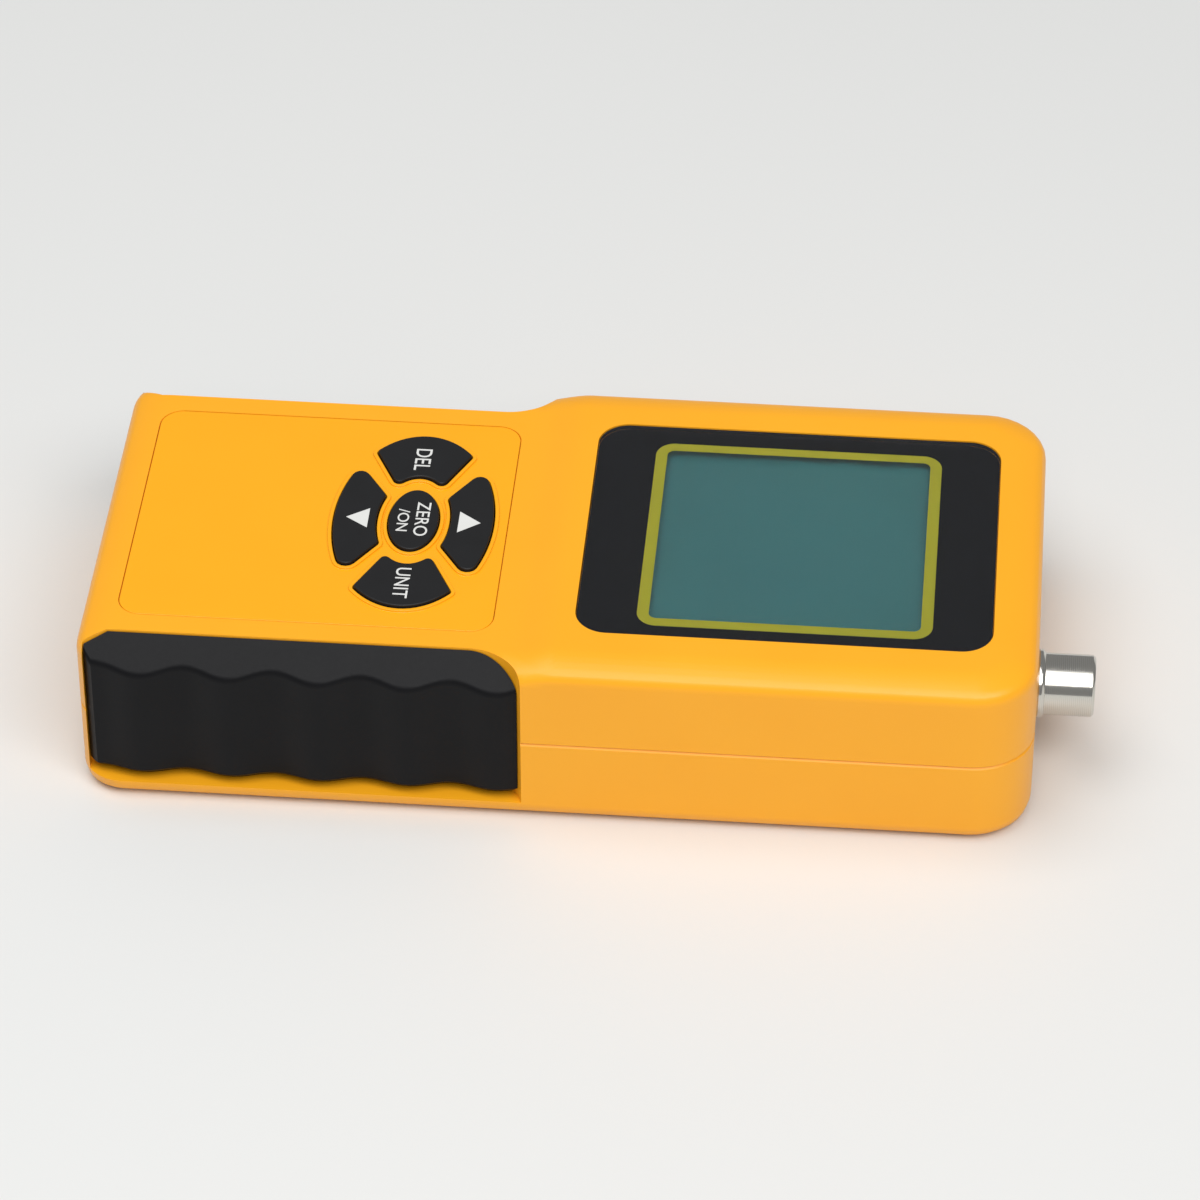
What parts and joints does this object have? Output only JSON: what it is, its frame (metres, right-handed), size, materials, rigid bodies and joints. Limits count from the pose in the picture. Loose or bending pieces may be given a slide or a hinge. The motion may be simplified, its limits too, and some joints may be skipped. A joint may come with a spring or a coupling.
{
  "type": "coating thickness gauge",
  "caption": "Hand-held coating thickness gauge with a square display, an oval of keys, black side grips and a probe socket.",
  "frame": {"origin": "middle of the box that holds the part, on its lowest plane: the gauge lies on its back", "axes": "+X along the case towards the probe socket, +Y to the left side of the upright gauge, +Z out of the display"},
  "size_m": [0.1548, 0.071, 0.03],
  "materials": {
    "case_yellow": "moulded, fine satin texture",
    "panel_yellow": "moulded, smooth satin",
    "grip_black": "moulded, satin",
    "key_black": "moulded, satin",
    "window_clear": "polished, printed on the back",
    "lcd_glass": "polished",
    "white_plastic": "moulded",
    "strip_rubber": "cut",
    "board_green": "solder mask",
    "chip_black": "moulded",
    "can_metal": "drawn",
    "nickel": "turned and nickel plated",
    "gold_contact": "gold plated",
    "steel": "zinc plated",
    "cell_sleeve": "shrunk sleeve",
    "wire_red": "extruded",
    "wire_black": "extruded",
    "insulator_white": "turned"
  },
  "bodies": {
    "case": {"front_case": "case_yellow", "rear_case": "case_yellow", "left_grip": "grip_black", "right_grip": "grip_black", "display_window": "window_clear", "lcd_panel": "lcd_glass", "lcd_holder": "white_plastic", "backlight": "white_plastic", "contact_strips": "strip_rubber", "main_board": "board_green", "controller_chip": "chip_black", "amplifier_chips": "chip_black", "crystal": "can_metal", "capacitors": "can_metal", "keypad_panel": "panel_yellow", "push_switches": "chip_black", "battery_cell_1": "cell_sleeve", "battery_cell_2": "cell_sleeve", "battery_cell_3": "cell_sleeve", "battery_cell_4": "cell_sleeve", "battery_springs": "steel", "battery_plates": "nickel", "battery_leads": "wire_red", "socket_shell": "nickel", "socket_insulator": "insulator_white", "socket_contact": "gold_contact", "socket_washer": "nickel", "socket_nut": "nickel", "probe_lead": "wire_black", "case_screws": "steel", "board_screws": "steel"},
    "key_up": {"key_up": "key_black", "plunger_up": "white_plastic"},
    "key_down": {"key_down": "key_black", "plunger_down": "white_plastic"},
    "key_delete": {"key_delete": "key_black", "plunger_delete": "white_plastic"},
    "key_unit": {"key_unit": "key_black", "plunger_unit": "white_plastic"},
    "key_zero": {"key_zero": "key_black", "plunger_zero": "white_plastic"},
    "battery_door": {"battery_door": "case_yellow"}
  },
  "joints": [
    {"name": "up_press", "type": "slide", "parent": "case", "child": "key_up", "axis": [0, 0, -1], "range_m": [0, 0.0005], "stiffness_N_per_m": 4000, "springref_m": -0.0002},
    {"name": "down_press", "type": "slide", "parent": "case", "child": "key_down", "axis": [0, 0, -1], "range_m": [0, 0.0005], "stiffness_N_per_m": 4000, "springref_m": -0.0002},
    {"name": "delete_press", "type": "slide", "parent": "case", "child": "key_delete", "axis": [0, 0, -1], "range_m": [0, 0.0005], "stiffness_N_per_m": 4000, "springref_m": -0.0002},
    {"name": "unit_press", "type": "slide", "parent": "case", "child": "key_unit", "axis": [0, 0, -1], "range_m": [0, 0.0005], "stiffness_N_per_m": 4000, "springref_m": -0.0002},
    {"name": "zero_press", "type": "slide", "parent": "case", "child": "key_zero", "axis": [0, 0, -1], "range_m": [0, 0.0005], "stiffness_N_per_m": 4000, "springref_m": -0.0002},
    {"name": "door_slide", "type": "slide", "parent": "case", "child": "battery_door", "axis": [-1, 0, 0], "range_m": [0, 0.062]}
  ]
}
